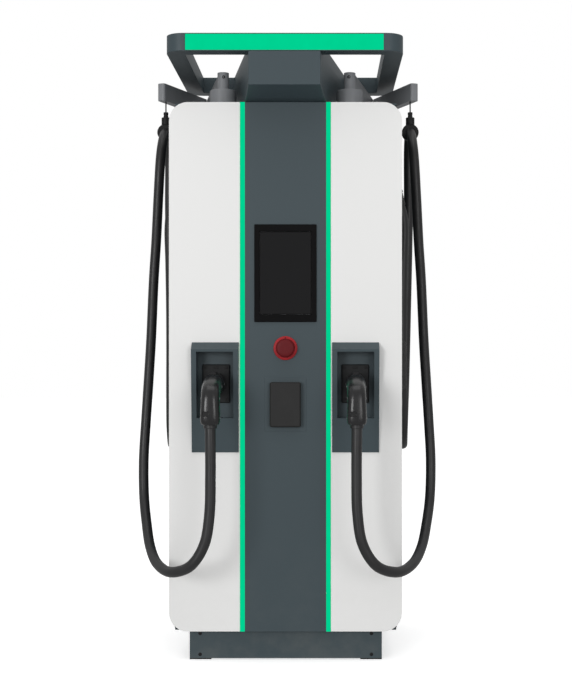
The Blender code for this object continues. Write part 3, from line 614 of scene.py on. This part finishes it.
BELOW, AT_SIDES, OVERHEAD = 0.60, 0.50, 0.85
world = bpy.data.worlds.new("studio")
bpy.context.scene.world = world
world.use_nodes = True
sky = world.node_tree
ray_way = sky.nodes.new("ShaderNodeTexCoord")
axes = sky.nodes.new("ShaderNodeSeparateXYZ")
sky.links.new(ray_way.outputs["Generated"], axes.inputs[0])
brightness = sky.nodes.new("ShaderNodeFloatCurve")
curve = brightness.mapping.curves[0]
curve.points[0].location = (0.0, BELOW / 2)
curve.points[1].location = (1.0, OVERHEAD / 2)
curve.points.new(0.5, AT_SIDES / 2)
lifted = sky.nodes.new("ShaderNodeMath")
lifted.operation = "MULTIPLY_ADD"
lifted.inputs[1].default_value = 0.5
lifted.inputs[2].default_value = 0.5
sky.links.new(axes.outputs["Z"], lifted.inputs[0])
sky.links.new(lifted.outputs[0], brightness.inputs["Value"])
doubled = sky.nodes.new("ShaderNodeMath")
doubled.operation = "MULTIPLY"
doubled.inputs[1].default_value = 2.0
sky.links.new(brightness.outputs[0], doubled.inputs[0])
rays = sky.nodes.new("ShaderNodeLightPath")
strength = sky.nodes.new("ShaderNodeMix")
sky.links.new(rays.outputs["Is Camera Ray"], strength.inputs[0])
sky.links.new(doubled.outputs[0], strength.inputs[2])
strength.inputs[3].default_value = 1.0
surround = sky.nodes["Background"]
surround.inputs["Color"].default_value = (1, 1, 1, 1)
sky.links.new(strength.outputs[0], surround.inputs["Strength"])
bpy.context.scene.view_settings.view_transform = "Standard"


def soft_light(name, place, target, size, watts):
    """A square light that faces a point."""
    turn = (Vector(target) - Vector(place)).to_track_quat("-Z", "Y")
    bpy.ops.object.light_add(type="AREA", location=place, rotation=turn.to_euler())
    light = bpy.context.object
    light.name = name
    light.data.size = size
    light.data.energy = watts
    return light


soft_light("light_overhead", (0.0, -1.2, 4.4), (0, 0, 1.0), 3.0, 30)
soft_light("light_front_left", (-4.5, -8.5, 2.0), (0, -0.2, 0.9), 3.0, 295)
soft_light("light_right", (3.4, -8.6, 2.0), (0, -0.2, 1.2), 3.0, 130)

# ---- Plinth --------------------------------------------------------------------
# A welded box of 6 mm steel plate under the cabinet, powder-coated dark slate. Its front cover comes
# off by four countersunk screws to reach the anchor bolts, and it stands on two rubber rails.
SLATE = paint_colour(58, 70, 75)


def rounded_copy(node, name, width, segments=2, angle=25):
    """A CAD node's shape as a piece of its own, its flat faces merged and its edges rounded."""
    piece = bpy.data.objects.new(name, frame["nodes"][node].data.copy())
    bpy.context.collection.objects.link(piece)
    bpy.ops.object.select_all(action="DESELECT")
    piece.select_set(True)
    bpy.context.view_layer.objects.active = piece
    bpy.ops.object.mode_set(mode="EDIT")
    bpy.ops.mesh.select_all(action="SELECT")
    bpy.ops.mesh.remove_doubles(threshold=0.00002)
    bpy.ops.mesh.dissolve_limited(angle_limit=math.radians(0.3))
    bpy.ops.object.mode_set(mode="OBJECT")
    round_edges(piece, width, segments, angle)
    return piece


def stand_for(node, finish, width, segments=2, angle=25):
    """Shows a CAD node by a copy of it with rounded edges, on the same body."""
    piece = rounded_copy(node, node + "_shell", width, segments, angle)
    fit(piece, frame["nodes"][node]["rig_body"], finish)
    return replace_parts(piece, node)


def dress(node, finish):
    """Gives a CAD node that stays as it is its material."""
    piece = frame["nodes"][node]
    piece.data.materials.clear()
    piece.data.materials.append(finish.material)
    return piece


def powder_coat(name, colour, roughness, dust=0.10, flake=0.05):
    """Baked polyester powder: orange peel a few millimetres across, fine speckle, dust near the ground."""
    made = Finish(name, Specular_IOR_Level=0.32)
    peel = made.noise(320.0, 2.0)
    speckle = made.noise(2600.0, 2.0)
    drift = made.noise(1.7, 3.0)
    low_down = 1 - made.band(made.height(), 0.02, 0.55)
    settled = low_down * made.band(made.noise(11.0, 5.0, 0.65), 0.35, 0.75) * dust
    tone = drift * 0.35 + speckle * 0.30 + peel * 0.20
    coat = made.blend(tone, scaled(colour, 1 - flake), scaled(colour, 1 + flake))
    made.feed(
        Base_Color=made.blend(settled, coat, paint_colour(140, 136, 128)),
        Roughness=roughness + speckle * 0.06 + settled * 0.8,
        Normal=made.bumps(peel * 0.8 + speckle * 0.2, 0.16, 0.0005),
    )
    return made


dark_paint = powder_coat("dark_paint", SLATE, 0.42)
foot_rubber = moulded_plastic("foot_rubber", paint_colour(38, 38, 38), 0.62, 700.0)
stand_for("plinth_frame", dark_paint, 0.0008)
cover = stand_for("plinth_cover_front", dark_paint, 0.0010)
for name, _ in SIDES:
    dress("foot_rail_" + name, foot_rubber)
cover_low, cover_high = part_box("plinth_cover_front")
screw_places = [(x, z) for x in (-0.278, 0.278) for z in (0.016, 0.084)]
for letter, (x, z) in zip("abcd", screw_places):
    screw = screw_head("plinth_cover_screw_" + letter, 0.0058, 0.0018)
    fit(settle(screw, (x, cover_low.y + 0.0002, z), (0, -1, 0)), "root", black_plastic)

# ---- Cabinet -------------------------------------------------------------------
# Floor, roof and side panels of folded 2 mm steel round an open front and back. Each side panel
# hangs on its top edge behind a rubber seal, and quarter-turn screws hold it below.
for node in ("floor_plate", "roof_plate"):
    stand_for(node, dark_paint, 0.0010)
for name, side in SIDES:
    stand_for("side_panel_" + name, dark_paint, 0.0006)
    dress("entry_pocket_" + name, black_plastic)
    panel_low, panel_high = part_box("side_panel_" + name)
    face = panel_high.x if side > 0 else panel_low.x
    for letter, place in (("front", panel_low.y), ("rear", panel_high.y)):
        inset = 0.004 if letter == "front" else -0.004
        near, far = sorted((face, face + side * 0.0016))
        edge_y = sorted((place + inset * 0.2, place + inset * 1.6))
        seal = block("side_seal_%s_%s" % (letter, name), (near, edge_y[0], panel_low.z + 0.004),
                     (far, edge_y[1], panel_high.z - 0.004), 0.0005)
        fit(seal, "root", cable_rubber)
    for number, (y, z) in enumerate(((0.0, 0.150), (0.24, 0.150), (-0.18, 1.74), (0.05, 1.74), (0.28, 1.74))):
        screw = screw_head("side_screw_%s_%d" % (name, number), 0.0070, 0.0026, 0.0020)
        fit(settle(screw, (face - side * 0.0002, y, z), (side, 0, 0)), "root", bright_steel)
    # A plate frames the mouth of the cable's pocket.
    pocket_low, pocket_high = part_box("entry_pocket_" + name)
    near, far = sorted((face, face + side * 0.0022))
    rim = block("pocket_rim_" + name, (near, pocket_low.y - 0.010, pocket_low.z - 0.010),
                (far, pocket_high.y + 0.010, pocket_high.z + 0.010), 0.0010)
    hole = block("hole", (near - 0.01, pocket_low.y + 0.003, pocket_low.z + 0.003),
                 (far + 0.01, pocket_high.y - 0.003, pocket_high.z - 0.003), 0.006)
    carve(rim, hole)
    fit(rim, "root", black_plastic)


def galvanised():
    """Hot-dip zinc: crystals a centimetre across, each with its own grey, under a fine bloom."""
    made = Finish("zinc_steel", Metallic=0.9)
    crystals = made.add("ShaderNodeTexVoronoi", {}, {"Vector": made.place, "Scale": 95.0}, "Color")
    grey = made.add("ShaderNodeSeparateColor", {}, {"Color": crystals}, 0)
    bloom = made.noise(40.0, 4.0)
    dark_crystal = paint_colour(150, 152, 154)
    pale_crystal = paint_colour(196, 198, 200)
    made.feed(
        Base_Color=made.blend(grey * 0.7 + bloom * 0.3, dark_crystal, pale_crystal),
        Roughness=0.30 + grey * 0.16 + bloom * 0.10,
        Normal=made.bumps(bloom, 0.10, 0.0004),
    )
    return made


zinc_steel = galvanised()
dress("mounting_plate", zinc_steel)

# ---- Rear door -----------------------------------------------------------------
# A folded steel leaf on one long hinge, with a louvred grille near its foot for the cooling air and
# a moulded pull by its free edge. Three quarter-turn locks hold it shut.
door_low, door_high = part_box("rear_door")
stand_for("rear_door", dark_paint, 0.0012)
stand_for("vent_grille", dark_paint, 0.0005)
stand_for("door_handle", black_plastic, 0.0030, 3)
hinge_low, hinge_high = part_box("door_hinge")
stand_for("door_hinge", zinc_steel, 0.0008)
hinge_x = (hinge_low.x + hinge_high.x) / 2
hinge_y = (hinge_low.y + hinge_high.y) / 2
HINGE_KNUCKLES = 6
knuckle_pitch = (hinge_high.z - hinge_low.z) / HINGE_KNUCKLES
for k in range(HINGE_KNUCKLES):
    foot = hinge_low.z + knuckle_pitch * k
    profile = [(0.0068, 0.0), (0.0076, 0.0006), (0.0076, knuckle_pitch - 0.0016),
               (0.0068, knuckle_pitch - 0.0010)]
    barrel = turned("hinge_knuckle_%d" % k, profile, 20)
    body = "rear_door" if k % 2 else "root"
    fit(settle(barrel, (hinge_x, hinge_y, foot)), body, zinc_steel)
vent_low, vent_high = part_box("vent_grille")
frame_bars = [
    ("top", (vent_low.x - 0.014, vent_high.z - 0.002), (vent_high.x + 0.014, vent_high.z + 0.014)),
    ("foot", (vent_low.x - 0.014, vent_low.z - 0.014), (vent_high.x + 0.014, vent_low.z + 0.002)),
    ("left", (vent_low.x - 0.014, vent_low.z + 0.002), (vent_low.x + 0.002, vent_high.z - 0.002)),
    ("right", (vent_high.x - 0.002, vent_low.z + 0.002), (vent_high.x + 0.014, vent_high.z - 0.002)),
]
for part, low, high in frame_bars:
    bar = block("vent_frame_" + part, (low[0], door_high.y - 0.0005, low[1]),
                (high[0], door_high.y + 0.0025, high[1]), 0.0010)
    fit(bar, "rear_door", dark_paint)
for letter, x in (("left", vent_low.x - 0.006), ("right", vent_high.x + 0.006)):
    for part, z in (("top", vent_high.z + 0.006), ("foot", vent_low.z - 0.006)):
        screw = screw_head("vent_screw_%s_%s" % (part, letter), 0.0040, 0.0018)
        settle(screw, (x, door_high.y + 0.0022, z), (0, 1, 0))
        fit(screw, "rear_door", bright_steel)
for part, z in (("top", 1.55), ("middle", 0.95), ("foot", 0.62)):
    cap = turned("door_lock_" + part, [(0.0110, 0.0), (0.0110, 0.0012), (0.0100, 0.0022), (0.0045, 0.0022),
                                       (0.0040, 0.0008)], 28)
    fit(settle(cap, (0.335, door_high.y - 0.0002, z), (0, 1, 0)), "rear_door", bright_steel)

# ---- Inside the cabinet --------------------------------------------------------
# Two aluminium-cased power modules, the distribution unit, breaker and controller on one zinc
# plate, and a tray of two fans that blows out through the door's grille.


def ribbed_metal():
    """Die-cast aluminium, bead-blasted, a little darker in its hollows."""
    made = Finish("module_metal", Metallic=0.85)
    blast = made.noise(1500.0, 2.0)
    cast = made.noise(22.0, 4.0)
    made.feed(
        Base_Color=made.blend(cast, paint_colour(152, 154, 156), paint_colour(186, 188, 190)),
        Roughness=0.34 + blast * 0.16,
        Normal=made.bumps(blast, 0.22, 0.0003),
    )
    return made


module_metal = ribbed_metal()
grey_plastic = moulded_plastic("grey_plastic", paint_colour(118, 122, 126), 0.45)
FIN_PITCH = 0.014
for name in ("lower", "upper"):
    node = "power_module_" + name
    stand_for(node, module_metal, 0.0020)
    low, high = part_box(node)
    fins = int((high.x - low.x - 0.03) / FIN_PITCH)
    for k in range(fins):
        x = low.x + 0.015 + FIN_PITCH * (k + 0.5)
        fin = block("%s_fin_%02d" % (node, k), (x - 0.0016, low.y - 0.0100, low.z + 0.010),
                    (x + 0.0016, low.y + 0.0005, high.z - 0.010), 0.0006, 2)
        fit(fin, "root", module_metal)
for node in ("distribution_unit", "mains_breaker", "controller_board"):
    stand_for(node, grey_plastic, 0.0025)
breaker_low, breaker_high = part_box("mains_breaker")
toggle = block("breaker_toggle", (-0.014, breaker_low.y - 0.016, 0.762),
               (0.014, breaker_low.y + 0.001, 0.792), 0.003)
fit(toggle, "root", black_plastic)
stand_for("fan_tray", zinc_steel, 0.0006)
for name, _ in SIDES:
    stand_for("fan_rotor_" + name, black_plastic, 0.0006)

# ---- Fascias -------------------------------------------------------------------
# Pressed aluminium covers over the cabinet's front: a white one on each side with a rounded outer
# corner, and a dark slate one between them that carries the controls. A green light guide fills
# each joint.
white_paint = powder_coat("white_paint", paint_colour(227, 227, 226), 0.34, 0.04, 0.012)
fascia_dark = powder_coat("fascia_dark", SLATE, 0.40, 0.04)
for name, _ in SIDES:
    stand_for("fascia_" + name, white_paint, 0.0012, 3)
stand_for("fascia_centre", fascia_dark, 0.0012, 3)


def light_guide():
    """A green acrylic guide lit from behind, faintly uneven where each diode sits."""
    made = Finish("green_lens", Roughness=0.45, Emission_Strength=1.0, Specular_IOR_Level=0.0)
    haze = made.noise(30.0, 2.0)
    glow = made.blend(haze, paint_colour(0, 202, 139), paint_colour(0, 210, 146))
    made.feed(
        Base_Color=made.blend(haze, paint_colour(0, 40, 28), paint_colour(0, 48, 33)),
        Emission_Color=glow,
        Normal=made.bumps(haze, 0.05, 0.0005),
    )
    return made


green_lens = light_guide()
for name, _ in SIDES:
    stand_for("light_strip_" + name, green_lens, 0.0008)

# ---- Display -------------------------------------------------------------------
# A portrait touch screen under hardened glass, in a black moulded bezel that stands 6 mm proud. The
# panel behind the glass is asleep, so only its edge shows against the black border.
bezel_black = moulded_plastic("bezel_black", paint_colour(11, 11, 12), 0.50, shine=0.06)
stand_for("display_bezel", bezel_black, 0.0022, 3)
glass_low, glass_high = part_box("display_glass")


def sleeping_screen():
    """Bonded glass: a black border round a slightly paler panel, with faint smears from fingers."""
    made = Finish("screen_glass", Coat_Roughness=0.05, IOR=1.52, Specular_IOR_Level=0.12)
    middle_z = (glass_low.z + glass_high.z) / 2
    x = made.add("ShaderNodeSeparateXYZ", {}, {"Vector": made.place}, "X")
    z = made.height()
    across = made.add("ShaderNodeMath", {"operation": "ABSOLUTE"}, {0: x})
    upright = made.add("ShaderNodeMath", {"operation": "ABSOLUTE"}, {0: z - middle_z})
    inside = (1 - made.band(across, 0.0800, 0.0812)) * (1 - made.band(upright, 0.1300, 0.1312))
    smears = made.band(made.noise(26.0, 5.0, 0.7, made.stretched((1.0, 1.0, 0.35))), 0.48, 0.72)
    made.feed(
        Base_Color=made.blend(inside, paint_colour(12, 12, 13), paint_colour(25, 25, 26)),
        Roughness=0.09 + smears * 0.16,
        Coat_Weight=0.10 - smears * 0.05,
    )
    return made


screen_glass = sleeping_screen()
stand_for("display_glass", screen_glass, 0.0004)
dress("display_module", module_metal)

# ---- Stop button ---------------------------------------------------------------
# A red mushroom head on a sprung stem, in a red bezel ring, with a small rib at the top that shows
# the unlocked position. The black contact block is clipped on behind the fascia.
STOP_Z = (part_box("estop_collar")[0].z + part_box("estop_collar")[1].z) / 2
FASCIA_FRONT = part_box("fascia_centre")[0].y
bright_red = moulded_plastic("stop_ring_red", paint_colour(162, 34, 40), 0.40, 1300.0)
deep_red = moulded_plastic("stop_head_red", paint_colour(94, 14, 20), 0.46, 1300.0)
collar = turned("stop_ring", [(0.0385, 0.0), (0.0385, 0.0028), (0.0378, 0.0042), (0.0360, 0.0054),
                             (0.0330, 0.0060), (0.0305, 0.0060), (0.0298, 0.0052), (0.0298, 0.0030),
                             (0.0140, 0.0030), (0.0140, 0.0010)], 72)
fit(settle(collar, (0, FASCIA_FRONT, STOP_Z), (0, -1, 0)), "root", bright_red)
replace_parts(collar, "estop_collar")
mark = block("stop_ring_mark", (-0.0016, FASCIA_FRONT - 0.0068, STOP_Z + 0.0305),
             (0.0016, FASCIA_FRONT - 0.0040, STOP_Z + 0.0360), 0.0005)
fit(mark, "root", deep_red)
head = turned("stop_head", [(0.0115, -0.0140), (0.0115, 0.0120), (0.0180, 0.0150), (0.0278, 0.0172),
                           (0.0290, 0.0186), (0.0295, 0.0205), (0.0295, 0.0240), (0.0289, 0.0262),
                           (0.0274, 0.0282), (0.0250, 0.0296), (0.0215, 0.0305), (0.0165, 0.0309),
                           (0.0100, 0.0310), (0.0020, 0.0310)], 72)
fit(settle(head, (0, FASCIA_FRONT - 0.0003, STOP_Z), (0, -1, 0)), "stop_button", deep_red)
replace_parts(head, "estop_button")
dress("estop_contacts", black_plastic)

# ---- Card reader ---------------------------------------------------------------
# A contactless reader in a soft-edged black moulding, on a thin surround plate in the fascia's own
# paint. The notch in its lower edge drains it and lets it be lifted off its clips.
reader_low, reader_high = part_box("card_reader")
plate = block("reader_plate", (-0.067, FASCIA_FRONT - 0.0016, reader_low.z - 0.014),
              (0.067, FASCIA_FRONT + 0.0005, reader_high.z + 0.014), 0.0012)
fit(plate, "root", fascia_dark)
reader = rounded_copy("card_reader", "card_reader_case", 0.0014, 3, 40)
fit(reader, "root", moulded_plastic("reader_plastic", paint_colour(40, 40, 40), 0.46))
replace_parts(reader, "card_reader")

# ---- Plug holsters -------------------------------------------------------------
# Drawn housings in slate paint, screwed to the fascia from behind, whose fronts slope back to the
# fascia at the foot. The socket is a black moulding with a round well for the nose, held by screws.
socket_black = moulded_plastic("socket_black", paint_colour(34, 35, 36), 0.50)
for name, side in SIDES:
    stand_for("holster_" + name, fascia_dark, 0.0006)
    stand_for("socket_" + name, socket_black, 0.0010)
    low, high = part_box("socket_" + name)
    middle = PLUG_X * side
    centre_z = (low.z + high.z) / 2
    rim = turned("socket_rim_" + name, [(0.0345, 0.0), (0.0345, 0.0030), (0.0335, 0.0040), (0.0318, 0.0040),
                                       (0.0311, 0.0030), (0.0311, 0.0005)], 48)
    fit(settle(rim, (middle, low.y + 0.0001, centre_z), (0, -1, 0)), "root", socket_black)
    for number, (x, z) in enumerate([(dx, dz) for dx in (-0.034, 0.034) for dz in (-0.052, 0.052)]):
        screw = screw_head("socket_screw_%s_%d" % (name, number), 0.0046, 0.0020)
        settle(screw, (middle + x, low.y + 0.0002, centre_z + z), (0, -1, 0))
        fit(screw, "root", black_plastic)
    tab = block("socket_tab_" + name, (middle - 0.008, low.y - 0.0020, centre_z + 0.049),
                (middle + 0.008, low.y + 0.0005, centre_z + 0.056), 0.0012)
    fit(tab, "root", black_plastic)

# ---- Neck ----------------------------------------------------------------------
# A folded 3 mm sheet housing in slate paint that carries the ring, wider at its back than at its
# front. It stands on the roof plate, and its underside slopes up to the front.
stand_for("neck_shell", dark_paint, 0.0015)

# ---- Roof ring -----------------------------------------------------------------
# A box-section frame of welded aluminium, powder-coated slate, round the neck's top. A green light
# guide is let into its front bar.
stand_for("roof_ring", dark_paint, 0.0020, 3)
stand_for("ring_light", green_lens, 0.0010)

# ---- Swing arms ----------------------------------------------------------------
# Two machined aluminium links on each side, painted grey. The first turns on a collar that is
# bolted to the roof, the second on a steel pin, and a set screw pinches each boss.
arm_paint = powder_coat("arm_paint", paint_colour(122, 124, 127), 0.38, 0.0, 0.03)
for name, side in SIDES:
    for node in ("inner_arm_", "outer_arm_"):
        stand_for(node + name, arm_paint, 0.0014, 3)
    collar_low, collar_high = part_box("arm_collar_" + name)
    pivot = ((collar_low.x + collar_high.x) / 2, (collar_low.y + collar_high.y) / 2)
    tall = collar_high.z - collar_low.z
    collar = turned("arm_collar_turned_" + name, [(0.0415, 0.0), (0.0440, 0.0012), (0.0440, 0.0090),
                                                 (0.0432, 0.0096), (0.0432, 0.0112), (0.0440, 0.0118),
                                                 (0.0440, tall - 0.0030), (0.0425, tall), (0.0200, tall)], 64)
    fit(settle(collar, (*pivot, collar_low.z)), "root", arm_paint)
    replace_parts(collar, "arm_collar_" + name)
    boss_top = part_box("inner_arm_" + name)[1].z
    cap = turned("shoulder_cap_" + name, [(0.0120, 0.0), (0.0120, 0.0010), (0.0108, 0.0018),
                                          (0.0055, 0.0018), (0.0050, 0.0004)], 40)
    fit(settle(cap, (*pivot, boss_top - 0.0004)), "inner_arm_" + name, zinc_steel)
    pinch = turned("shoulder_set_screw_" + name, [(0.0052, 0.0), (0.0052, 0.0012), (0.0044, 0.0016),
                                                 (0.0028, 0.0016), (0.0026, 0.0002)], 24)
    settle(pinch, (pivot[0] - side * 0.003, pivot[1] - 0.0183, boss_top - 0.016), (0, -1, 0))
    fit(pinch, "inner_arm_" + name, black_plastic)
    pin_low, pin_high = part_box("elbow_pin_" + name)
    pin_at = ((pin_low.x + pin_high.x) / 2, (pin_low.y + pin_high.y) / 2)
    pin_tall = pin_high.z - pin_low.z
    pin = turned("elbow_pin_head_" + name, [(0.0060, 0.0), (0.0060, pin_tall - 0.0006), (0.0054, pin_tall),
                                           (0.0028, pin_tall), (0.0026, pin_tall - 0.0014)], 28)
    fit(settle(pin, (*pin_at, pin_low.z)), "inner_arm_" + name, zinc_steel)
    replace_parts(pin, "elbow_pin_" + name)

# ---- Cable hangers -------------------------------------------------------------
# A thin steel rope drops from the end of each outer link to a crimped ferrule. Below it a black
# moulded sleeve holds the cable where it turns over.
WIRE_RADIUS = 0.0023
for name, side in SIDES:
    body = "outer_arm_" + name
    low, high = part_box("cable_hanger_" + name)
    x = (low.x + high.x) / 2
    y = (low.y + high.y) / 2
    sleeve_z = low.z + 0.029
    sleeve = turned("hanger_sleeve_" + name, [(0.0215, -0.0110), (0.0270, -0.0110), (0.0286, -0.0098),
                                             (0.0290, -0.0078), (0.0290, 0.0078), (0.0286, 0.0098),
                                             (0.0270, 0.0110), (0.0215, 0.0110), (0.0203, 0.0096),
                                             (0.0203, -0.0096)], 56)
    fit(settle(sleeve, (x, y, sleeve_z), (0, 1, 0)), body, black_plastic)
    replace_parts(sleeve, "cable_hanger_" + name)
    neck = turned("hanger_ferrule_" + name, [(0.0150, 0.0), (0.0150, 0.0228), (0.0144, 0.0240),
                                            (0.0090, 0.0246),
                                            (0.0083, 0.0256), (0.0083, 0.0300),
                                            (0.0076, 0.0308), (0.0076, 0.0330), (0.0083, 0.0338),
                                            (0.0083, 0.0415), (0.0076, 0.0428), (0.0030, 0.0432)], 40)
    fit(settle(neck, (x, y, sleeve_z + 0.0270)), body, black_plastic)
    rope = turned("hanger_rope_" + name, [(WIRE_RADIUS, 0.0), (WIRE_RADIUS, high.z - sleeve_z - 0.0665)], 14)
    fit(settle(rope, (x, y, sleeve_z + 0.0660)), body, black_plastic)

# ---- Side lock -----------------------------------------------------------------
# A swing-handle lock on the right side panel: a black moulded escutcheon, riveted on, with its
# lever folded flat over it.
stand_for("lock_escutcheon", black_plastic, 0.0012)
stand_for("lock_lever", plug_shell_plastic, 0.0022, 3)
